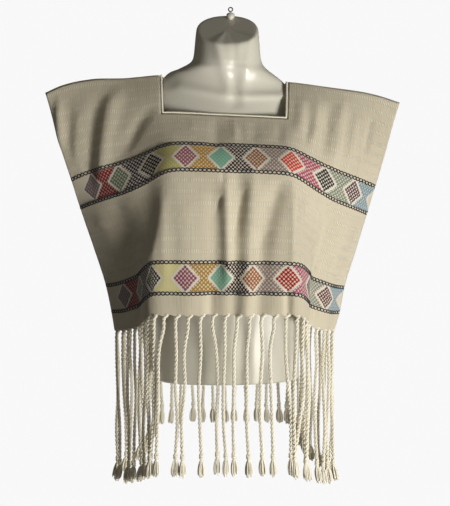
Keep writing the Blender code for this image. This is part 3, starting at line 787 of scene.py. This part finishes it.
CORD_TREE = cord_tree()
SINGLE = {"plies": 1, "aside": 0.0, "rise": 0.0, "turn": 1.0}
Strand = namedtuple("Strand", "points out thick closed")


def twist(name, strands, finish, **sizes):
    """Run the cord tree over a list of strands and return the finished, plain mesh object."""
    points = np.concatenate([strand.points for strand in strands])
    outs = np.concatenate([np.broadcast_to(strand.out, strand.points.shape) for strand in strands])
    thick = np.concatenate([np.broadcast_to(strand.thick, len(strand.points)) for strand in strands])
    edges = []
    start = 0
    for strand in strands:
        count = len(strand.points)
        edges += [(start + i, start + i + 1) for i in range(count - 1)]
        if strand.closed:
            edges.append((start + count - 1, start))
        start += count
    mesh = bpy.data.meshes.new(name + " lines")
    mesh.from_pydata([tuple(place) for place in points], edges, [])
    out = mesh.attributes.new("out", "FLOAT_VECTOR", "POINT")
    out.data.foreach_set("vector", outs.astype(np.float32).ravel())
    width = mesh.attributes.new("thick", "FLOAT", "POINT")
    width.data.foreach_set("value", thick.astype(np.float32))
    lines = bpy.data.objects.new(name + " lines", mesh)
    bpy.context.scene.collection.objects.link(lines)
    modifier = lines.modifiers.new("cord", "NODES")
    modifier.node_group = CORD_TREE
    sockets = {item.name: item.identifier for item in CORD_TREE.interface.items_tree}
    values = {"plies": 2, "sides": 6, "roundness": 1.0, "finish": finish, **sizes}
    for socket, value in values.items():
        modifier[sockets[socket]] = value
    evaluated = lines.evaluated_get(bpy.context.evaluated_depsgraph_get())
    made = bpy.data.meshes.new_from_object(evaluated)
    made.name = name
    piece = bpy.data.objects.new(name, made)
    bpy.context.scene.collection.objects.link(piece)
    bpy.data.objects.remove(lines, do_unlink=True)
    print(f"{name}: {len(strands)} strands, {sum(len(p.vertices) - 2 for p in made.polygons)} triangles")
    return piece


def join(name, pieces):
    """Several plain meshes as one piece, in the order given."""
    with bpy.context.temp_override(active_object=pieces[0], selected_editable_objects=pieces):
        bpy.ops.object.join()
    pieces[0].name = name
    return pieces[0]


# %% [markdown]
# ## Cord finishes
#
# Raw cotton yarn is matt, a little uneven in colour, and has fine fibres along each ply. The chains are dark
# blue-black yarn.


# %% Cord materials
def make_yarn(name, light, dark):
    material, shader, new = new_finish(name, 0.85)
    place = new.make("ShaderNodeTexCoord", {}, {}, output=3)
    along = new.make("ShaderNodeAttribute", {"attribute_name": "along"}, {}, output=2)
    patch = new.noise(place, 60.0, 2.0)
    fibre = new.noise(place, 900.0, 2.0)
    base = (patch * 0.6 + fibre * 0.4).between(dark, light)
    plug(base, shader, "Base Color")
    turns = (along * (2 * math.pi / 0.0024)).sine() * 0.5 + 0.5
    raise_surface(new, shader, fibre * 0.6 + turns * 0.25, 0.0005)
    shader.inputs["Specular IOR Level"].default_value = 0.2
    shader.inputs["Sheen Weight"].default_value = 0.15
    return material


raw_yarn = make_yarn("raw yarn", (0.97, 0.93, 0.80), (0.86, 0.80, 0.64))
dark_yarn = make_yarn("dark yarn", (0.040, 0.038, 0.050), (0.010, 0.010, 0.014))

# %% [markdown]
# ## Neck binding
#
# The cut edge of the neck is bound by a thin twisted cord. It is a closed ring that follows the edge on
# both halves, just inside it.

# %% Neck binding
BINDING_RADIUS = 0.0020
BINDING_GAP = 0.0008
BINDING_TURN = 0.0075
BINDING_STEP = 0.004


def neck_edge():
    inset = BINDING_RADIUS + BINDING_GAP
    left = NECK_LEFT + inset
    right = NECK_RIGHT - inset
    points = []
    outs = []
    for face, drop in ((-1, NECK_FRONT_DROP), (1, NECK_BACK_DROP)):
        low = drop - inset
        downs = steps([0.0, low], BINDING_STEP)
        acrosses = steps([left, right], BINDING_STEP)
        spots = [(left, down) for down in downs]
        spots += [(across, low) for across in acrosses[1:-1]]
        spots += [(right, down) for down in reversed(downs)]
        if face > 0:
            spots = list(reversed(spots))[1:-1]
        spots = np.array(spots)
        points.append(cloth(face, spots[:, 0], spots[:, 1]))
        outs.append(outward(cloth, face, spots[:, 0], spots[:, 1]))
    return np.concatenate(points) - HANG_POINT, np.concatenate(outs)


edge_points, edge_outs = neck_edge()
edge_length = np.linalg.norm(np.roll(edge_points, -1, axis=0) - edge_points, axis=1).sum()
edge_turn = edge_length / round(edge_length / BINDING_TURN)
binding = [Strand(edge_points, edge_outs, 1.0, True)]
winding = {"ply": 0.00115, "aside": 0.00095, "rise": 0.00095, "turn": edge_turn, "step": 0.0010}
neck_cord = twist("neck_cord", binding, raw_yarn, **winding)
print(f"neck edge {edge_length:.3f} m round")

# %% [markdown]
# ## Chains beside the bands
#
# Each band lies between two chains: two dark plies that cross over and under each other along the cloth, so
# that small light ovals of the ground show between them. The cord tree makes them too, laid nearly flat.

# %% Chain borders
CHAIN_TURN = 2 * DOT_PITCH
CHAIN_LIFT = 0.0011
CHAIN_END = 0.001
CHAIN_POINTS = 220
chains = []
for face in (-1, 1):
    for down in CHAIN_ROWS:
        spots = np.linspace(CHAIN_END - HALF, HALF - CHAIN_END, CHAIN_POINTS)
        line = cloth(face, spots, np.full_like(spots, down))
        normals = outward(cloth, face, spots, np.full_like(spots, down))
        chains.append(Strand(line + normals * CHAIN_LIFT - HANG_POINT, normals, 1.0, False))
linking = {"ply": 0.0010, "aside": 0.00265, "rise": 0.0003, "turn": CHAIN_TURN, "step": 0.0009}
chain_borders = twist("chain_borders", chains, dark_yarn, roundness=0.55, sides=4, **linking)

# %% [markdown]
# ## Fringe
#
# At the hem the warp ends are twisted into cords. Each cord starts along the arch of the hem, turns down at
# its foot, hangs to a knot, and ends in a loose tuft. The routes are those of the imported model, drawn as
# smooth lines through its points, so each cord stays where its solid is.

# %% Cord routes
CORD_LENGTH = 0.226
CORD_SPREAD = 0.005
ROOT_DROP = 0.008
KNOT_LENGTH = 0.008
TUFT_LENGTH = 0.028
TUFT_FLARE = 0.010
IDLE_SWAY = 0.0022
ROUTE_POINTS = 10
Hook = namedtuple("Hook", "aside drop")
HOOKS = [Hook(0.0090, 0.0004), Hook(0.0055, 0.0012), Hook(0.0022, 0.0036)]
Sway = namedtuple("Sway", "cord quarter half three_quarters whole")
FRONT_SWAYS = [
    Sway(0, 0.0005, 0.0025, 0.0050, 0.0050),
    Sway(1, 0.0000, 0.0030, 0.0090, 0.0100),
    Sway(8, 0.0000, 0.0010, -0.0010, -0.0060),
    Sway(9, -0.0080, -0.0090, -0.0100, -0.0120),
    Sway(10, 0.0010, 0.0000, 0.0030, 0.0000),
    Sway(11, -0.0060, -0.0050, -0.0100, -0.0090),
    Sway(13, 0.0060, 0.0090, 0.0070, 0.0080),
    Sway(14, 0.0000, -0.0020, -0.0020, 0.0020),
    Sway(15, -0.0050, -0.0050, -0.0060, -0.0050),
    Sway(16, -0.0040, -0.0040, -0.0040, -0.0010),
    Sway(18, -0.0065, -0.0045, -0.0025, -0.0010),
    Sway(19, 0.0000, 0.0040, 0.0090, 0.0090),
    Sway(20, -0.0015, -0.0045, -0.0045, -0.0030),
    Sway(21, -0.0010, 0.0010, -0.0060, -0.0130),
    Sway(22, 0.0020, 0.0030, 0.0020, 0.0000),
    Sway(23, 0.0000, -0.0010, -0.0050, -0.0030),
]


def smooth_line(keys, count):
    """A smooth line through key points, by the Catmull-Rom rule."""
    keys = np.array(keys)
    padded = np.concatenate((2 * keys[:1] - keys[1:2], keys, 2 * keys[-1:] - keys[-2:-1]))
    line = [keys[0]]
    for a, b, c, d in zip(padded, padded[1:], padded[2:], padded[3:]):
        for k in range(count):
            t = (k + 1) / count
            bend = (2 * a - 5 * b + 4 * c - d) * t * t + (3 * b - a - 3 * c + d) * t**3
            line.append((2 * b + (c - a) * t + bend) / 2)
    return np.array(line)


def hem_point(face, across):
    return cloth(face, np.array([np.clip(across, -HALF, HALF)]), np.array([PANEL_DROP]))[0]


def cord_route(face, number):
    """Points from a cord's start on the hem's arch to its knot, and the direction of its tuft."""
    table = {row.cord: row for row in FRONT_SWAYS} if face < 0 else {}
    idle = [IDLE_SWAY * math.sin(2.4 * number + 1.7 * k + face) for k in range(4)]
    sway = table[number][1:] if number in table else idle
    middle = (number - (CORDS_A_SIDE - 1) / 2) / CORDS_A_SIDE
    across = ROOTS[number]
    root = hem_point(face, across) - (0, 0, SEAM_GAP + STRIP_HEIGHT)
    keys = []
    for hook in HOOKS:
        keys.append(hem_point(face, across + hook.aside) - (0, 0, hook.drop))
    keys.append(root - (0, 0, ROOT_DROP / 2))
    keys.append(root - (0, 0, ROOT_DROP * 2))
    for k, aside in enumerate(sway):
        share = (k + 1) / 4
        keys.append(root + (aside, face * CORD_SPREAD * share, -CORD_LENGTH * share))
    flare = np.array((TUFT_FLARE * middle, 0.0, -TUFT_LENGTH))
    return smooth_line(keys, ROUTE_POINTS) - HANG_POINT, flare


# %% Knots and tufts
WRAP_RADIUS = 0.0026
WRAP_POINTS = 22
WRAP_TOP = 0.0016
WRAP_END = 0.002
YARNS_A_TUFT = 34
TUFT_WIDTH = 0.0060
TUFT_POINTS = 6
TUFT_CORE = 0.0006
TAPER_START = 0.55
TAPER_RATE = 9


def knot_line(centre):
    """Two tight wraps round the cord's end."""
    angles = np.linspace(0, 4 * math.pi, WRAP_POINTS)
    rise = np.linspace(WRAP_TOP, WRAP_END - KNOT_LENGTH, WRAP_POINTS)
    return centre + np.stack((np.cos(angles) * WRAP_RADIUS, np.sin(angles) * WRAP_RADIUS, rise), axis=1)


def tuft_lines(start, flare, chance):
    """Loose yarns that leave the knot, belly out and come together again at unlike lengths."""
    lines = []
    for _ in range(YARNS_A_TUFT):
        angle = chance.uniform(0, 2 * math.pi)
        width = TUFT_WIDTH * math.sqrt(chance.uniform(0.02, 1.0))
        length = chance.uniform(0.98, 1.16) - 0.22 * (width / TUFT_WIDTH) ** 2
        side = np.array((math.cos(angle), math.sin(angle) * 0.8, 0.0))
        shares = np.linspace(0, 1, TUFT_POINTS)
        belly = np.sin(shares * math.pi * 0.66) ** 0.75 * width
        lines.append(start + flare * (shares * length)[:, None] + side * (belly + TUFT_CORE)[:, None])
    return lines


def make_fringe(name, face, seed):
    chance = np.random.default_rng(seed)
    cords = []
    knots = []
    yarns = []
    for number in range(CORDS_A_SIDE):
        line, flare = cord_route(face, number)
        out = np.array((0.0, face, 0.0))
        taper = np.clip(np.linspace(0.0, TAPER_RATE, len(line)) + TAPER_START, TAPER_START, 1.0)
        cords.append(Strand(line, out, taper, False))
        knots.append(Strand(knot_line(line[-1]), np.array((0.0, 0.0, 1.0)), 1.0, False))
        start = line[-1] - (0, 0, KNOT_LENGTH - WRAP_END)
        for yarn in tuft_lines(start, flare, chance):
            yarns.append(Strand(yarn, out, chance.uniform(0.75, 1.15), False))
    parts = [
        twist(name, cords, raw_yarn, ply=0.00165, aside=0.0018, rise=0.0018, turn=0.0150, step=0.0017),
        twist(name + " knots", knots, raw_yarn, ply=0.0018, step=0.0015, **SINGLE),
        twist(name + " tufts", yarns, raw_yarn, ply=0.00085, step=0.0055, sides=4, **SINGLE),
    ]
    return join(name, parts)


front_cords = make_fringe("front_cords", -1, seed=11)
back_cords = make_fringe("back_cords", 1, seed=12)

# %% [markdown]
# ## The form
#
# The form is moulded plastic: smooth, off-white, a little glossy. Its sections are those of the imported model,
# drawn here with many more points. Collarbones, the hollow between them and the two neck muscles are raised
# a few millimetres, as on any torso form.

# %% Form sections
FORM_X = 0.0085
FORM_CENTRE_Y = 0.012
Section = namedtuple("Section", "height half_width front back power slant lean")
FORM = [
    Section(-0.5365, 0.1270, 0.084, 0.096, 2.2, -0.10, -0.012),
    Section(-0.490, 0.1275, 0.086, 0.096, 2.2, -0.05, -0.006),
    Section(-0.430, 0.1275, 0.084, 0.093, 2.2, 0.00, 0.000),
    Section(-0.360, 0.1265, 0.080, 0.089, 2.2, 0.00, 0.001),
    Section(-0.300, 0.1275, 0.083, 0.088, 2.2, 0.00, 0.007),
    Section(-0.240, 0.1320, 0.094, 0.093, 2.3, 0.00, 0.016),
    Section(-0.195, 0.1360, 0.104, 0.100, 2.3, 0.00, 0.023),
    Section(-0.165, 0.1380, 0.103, 0.103, 2.2, 0.00, 0.028),
    Section(-0.135, 0.1420, 0.089, 0.103, 2.0, 0.00, 0.033),
    Section(-0.105, 0.1480, 0.068, 0.099, 1.9, 0.00, 0.038),
    Section(-0.078, 0.1510, 0.0503, 0.091, 1.9, 0.00, 0.041),
    Section(-0.052, 0.1480, 0.0396, 0.080, 1.8, 0.00, 0.044),
    Section(-0.034, 0.1390, 0.034, 0.070, 1.8, 0.00, 0.055),
    Section(-0.026, 0.1290, 0.032, 0.067, 1.7, 0.00, 0.070),
    Section(-0.0166, 0.1157, 0.0305, 0.064, 1.7, 0.00, 0.090),
    Section(-0.0067, 0.1042, 0.031, 0.063, 1.7, 0.00, 0.108),
    Section(-0.0007, 0.0975, 0.032, 0.0625, 1.75, 0.01, 0.094),
    Section(0.0035, 0.0900, 0.033, 0.062, 1.8, 0.02, 0.078),
    Section(0.009, 0.0810, 0.035, 0.062, 1.9, 0.04, 0.072),
    Section(0.016, 0.0700, 0.037, 0.061, 2.0, 0.08, 0.062),
    Section(0.024, 0.0620, 0.038, 0.061, 2.0, 0.12, 0.050),
    Section(0.034, 0.0592, 0.039, 0.060, 2.0, 0.18, 0.035),
    Section(0.054, 0.0573, 0.039, 0.060, 2.0, 0.36, 0.010),
    Section(0.073, 0.0555, 0.038, 0.060, 2.1, 0.56, 0.000),
    Section(0.083, 0.0540, 0.036, 0.058, 2.2, 0.66, 0.000),
]
FORM_SIDES = 96
FORM_RINGS = 150
RIM_ROUND = 0.004
RIM_RINGS = 5
END_SHARES = (0.10, 0.30, 0.55, 0.80)
RELIEF_FADE = 0.6

Ridge = namedtuple("Ridge", "start end width height")
RIDGES = [
    Ridge((-0.076, -0.019), (0.000, -0.036), 0.0070, 0.0034),
    Ridge((0.110, -0.034), (0.035, -0.038), 0.0070, 0.0034),
    Ridge((-0.012, 0.060), (0.012, -0.034), 0.0085, 0.0030),
    Ridge((0.052, 0.060), (0.033, -0.034), 0.0085, 0.0030),
    Ridge((0.0215, -0.044), (0.0215, -0.050), 0.0070, -0.0045),
    Ridge((0.020, 0.050), (0.022, -0.030), 0.0060, -0.0016),
]


# %% Build the form
def form_relief(x, z):
    total = np.zeros_like(x)
    for ridge in RIDGES:
        start = np.array(ridge.start)
        run = np.array(ridge.end) - start
        share = np.clip(((x - start[0]) * run[0] + (z - start[1]) * run[1]) / (run @ run), 0.0, 1.0)
        away = np.hypot(x - start[0] - share * run[0], z - start[1] - share * run[1])
        total += ridge.height * np.exp(-((away / ridge.width) ** 2))
    return total


def form_ring(height, pull):
    """One ring of the form, pulled in by a length where its edge is rounded."""
    angles = np.arange(FORM_SIDES) * 2 * math.pi / FORM_SIDES
    power = 2 / read(FORM, height, "power")
    cosine = np.cos(angles)
    sine = np.sin(angles)
    half = read(FORM, height, "half_width") - pull
    across = np.sign(cosine) * np.abs(cosine) ** power * half
    depth = np.sign(sine) * np.abs(sine) ** power
    behind = read(FORM, height, "back") - FORM_CENTRE_Y - pull
    ahead = read(FORM, height, "front") + FORM_CENTRE_Y - pull
    y = FORM_CENTRE_Y + depth * np.where(depth > 0, behind, ahead)
    z = height + read(FORM, height, "slant") * (y - FORM_CENTRE_Y) - read(FORM, height, "lean") * across
    x = FORM_X + across
    y = y - form_relief(x, z) * fade(-depth, RELIEF_FADE)
    return np.stack((x, y, z), axis=-1)


def edge_rounding(edge, inward):
    """Heights and pulls of the rings round an edge, from the flat end to the wall."""
    angles = np.linspace(0, math.pi / 2, RIM_RINGS)
    return [(edge + inward * RIM_ROUND * (1 - math.cos(a)), RIM_ROUND * (1 - math.sin(a))) for a in angles]


def make_torso():
    low = FORM[0].height
    high = FORM[-1].height
    places = edge_rounding(low, 1)
    places += [(height, 0.0) for height in np.linspace(low + RIM_ROUND, high - RIM_ROUND, FORM_RINGS)[1:-1]]
    places += reversed(edge_rounding(high, -1))
    rings = [form_ring(np.float64(height), pull) for height, pull in places]
    for end in (0, -1):
        centre = rings[end].mean(axis=0)
        inner = [mix(rings[end], centre, share) for share in END_SHARES]
        rings = list(reversed(inner)) + rings if end == 0 else rings + inner
    return loft("torso_form", rings)


def make_plastic(name, colour, roughness):
    material, shader, new = new_finish(name, roughness)
    place = new.make("ShaderNodeTexCoord", {}, {}, output=3)
    patch = new.noise(place, 9.0, 3.0)
    dull = tuple(channel * 0.93 for channel in colour)
    plug((patch * 1.0).between(dull, colour), shader, "Base Color")
    plug(patch * 0.16 + (roughness - 0.08), shader, "Roughness")
    orange_peel = new.noise(place, 260.0, 2.0)
    raise_surface(new, shader, orange_peel, 0.00012)
    return material


torso_form = make_torso()
plastic = make_plastic("moulded plastic", (0.74, 0.71, 0.60), 0.34)
torso_form.data.materials.append(plastic)

# %% [markdown]
# ## Knob and eye
#
# A round knob closes the neck cap, and a small steel eye stands on it for the hook or line. Both are turned
# shapes: an outline spun round the upright axis through the eye.

# %% Knob and eye
KNOB_RADIUS = 0.0075
KNOB_HEIGHT = 0.006
KNOB_SIDES = 40
KNOB_RINGS = 14
KNOB_START = -0.55
KNOB_SINK = 0.78
KNOB_SWELL = 0.8
KNOB_TIP = 0.0004
EYE_RADIUS = 0.0036
EYE_WIRE = 0.0011
EYE_POINTS = 48
SHANK_FOOT = 1.35
SHANK_TOP = 1.15
cap = FORM[-1]
seat_back = cap.height + cap.slant * (HANG_POINT[1] + KNOB_RADIUS - FORM_CENTRE_Y)
knob_top = seat_back + SEAM_GAP + KNOB_HEIGHT


def make_knob():
    """A ball cut off by the slanted cap, its foot on the cap's plane and its top level."""
    turns = np.arange(KNOB_SIDES) * 2 * math.pi / KNOB_SIDES
    rings = []
    for angle in np.linspace(KNOB_START, 1.0, KNOB_RINGS) * math.pi / 2:
        radius = max(KNOB_RADIUS * math.cos(angle), KNOB_TIP)
        rise = max((math.sin(angle) + KNOB_SINK) / (1 + KNOB_SINK), 0.0) ** KNOB_SWELL
        x = HANG_POINT[0] + np.cos(turns) * radius
        y = HANG_POINT[1] + np.sin(turns) * radius
        seat = cap.height + cap.slant * (y - FORM_CENTRE_Y) + SEAM_GAP
        rings.append(np.stack((x, y, mix(seat, knob_top, rise)), axis=1))
    return loft("neck_knob", rings)


neck_knob = make_knob()
neck_knob.data.materials.append(plastic)


def make_steel():
    material, shader, new = new_finish("dark steel", 0.35)
    place = new.make("ShaderNodeTexCoord", {}, {}, output=3)
    stain = new.noise(place, 700.0, 3.0)
    plug((stain * 1.0).between((0.05, 0.047, 0.045), (0.20, 0.19, 0.18)), shader, "Base Color")
    plug(stain * 0.3 + 0.25, shader, "Roughness")
    raise_surface(new, shader, stain, 0.00005)
    shader.inputs["Metallic"].default_value = 1.0
    return material


def make_eye():
    angles = np.linspace(0, 2 * math.pi, EYE_POINTS, endpoint=False)
    ring = np.stack((np.cos(angles), np.zeros(EYE_POINTS), np.sin(angles)), axis=1) * EYE_RADIUS
    foot = knob_top + SEAM_GAP - HANG_POINT[2]
    shank = np.array([(0.0, 0.0, foot), (0.0, 0.0, -EYE_RADIUS)])
    out = np.array((0.0, 1.0, 0.0))
    strands = [Strand(ring, out, 1.0, True), Strand(shank, out, np.array((SHANK_FOOT, SHANK_TOP)), False)]
    return twist("steel_eye", strands, make_steel(), ply=EYE_WIRE, step=0.0005, sides=16, **SINGLE)


steel_eye = make_eye()

# %% [markdown]
# ## Floor and light
#
# The photograph is lit by one soft light low on the right, and little else, so the left third falls into
# shade. A second light stands straight behind, for the back. The floor and the room show the camera one plain
# pale colour all round, and light nothing themselves, apart from the room's faint warm glow.

# %% Stage
FLOOR = -1.10
FLOOR_HALF = 9.0
PALE = (0.94, 0.94, 0.94)
floor_corners = [(x * FLOOR_HALF, y * FLOOR_HALF, FLOOR) for x, y in ((-1, -1), (1, -1), (1, 1), (-1, 1))]
pale_floor = new_piece("pale_floor", floor_corners, [(0, 1, 2, 3)])
floor_finish, floor_shader, _ = new_finish("pale floor", 0.9)
floor_shader.inputs["Base Color"].default_value = (*BLACK, 1.0)
floor_shader.inputs["Specular IOR Level"].default_value = 0.0
floor_shader.inputs["Emission Color"].default_value = (*PALE, 1.0)
floor_shader.inputs["Emission Strength"].default_value = 1.0
pale_floor.data.materials.append(floor_finish)
pale_floor.visible_diffuse = False
pale_floor.visible_shadow = False

# %% Lights
AIM = Vector((0.0, -0.05, -0.35))
Lamp = namedtuple("Lamp", "name toward distance size power colour")
LAMPS = [
    Lamp("key", (0.66, -0.72, -0.20), 2.4, 0.8, 58.0, (1.0, 0.985, 0.95)),
    Lamp("fill", (-0.55, -0.80, 0.35), 3.0, 2.0, 2.4, (1.0, 0.95, 0.86)),
    Lamp("back", (0.10, 1.00, 0.00), 2.8, 1.5, 46.0, (1.0, 0.985, 0.95)),
]
for lamp in LAMPS:
    light = bpy.data.lights.new(lamp.name, "AREA")
    light.shape = "DISK"
    light.size = lamp.size
    light.energy = lamp.power
    light.color = lamp.colour
    toward = Vector(lamp.toward).normalized()
    holder = bpy.data.objects.new(lamp.name, light)
    holder.location = AIM + toward * lamp.distance
    holder.rotation_euler = toward.to_track_quat("Z", "Y").to_euler()
    bpy.context.scene.collection.objects.link(holder)

GLOW = (0.060, 0.056, 0.048)
world = bpy.data.worlds.new("soft room")
world.use_nodes = True
backdrop = world.node_tree.nodes["Background"]
backdrop.inputs["Strength"].default_value = 1.0
seen = Wire(world.node_tree).make("ShaderNodeLightPath")
plug(seen.between(GLOW, PALE), backdrop, "Color")
bpy.context.scene.world = world
bpy.context.scene.view_settings.view_transform = "Standard"
bpy.context.scene.view_settings.look = "None"

# %% [markdown]
# ## Attach the pieces
#
# Every piece rides on the one body of the model, and stands for the nodes whose form it shows in full. The
# cloth is one length of 62 by 88 cm, less the neck hole.

SHOWN = [
    (brocaded_cloth, "cloth", ("front_panel", "back_panel")),
    (neck_cord, "cord", ("neck_binding",)),
    (chain_borders, "cord", ()),
    (front_cords, "cord", ("fringe_front",)),
    (back_cords, "cord", ("fringe_back",)),
    (torso_form, "form", ("dress_form",)),
    (neck_knob, "form", ("cap_knob",)),
    (steel_eye, "steel", ("hanging_eye",)),
]
for piece, slot, nodes in SHOWN:
    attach(piece, "root")
    if nodes:
        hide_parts(*nodes)
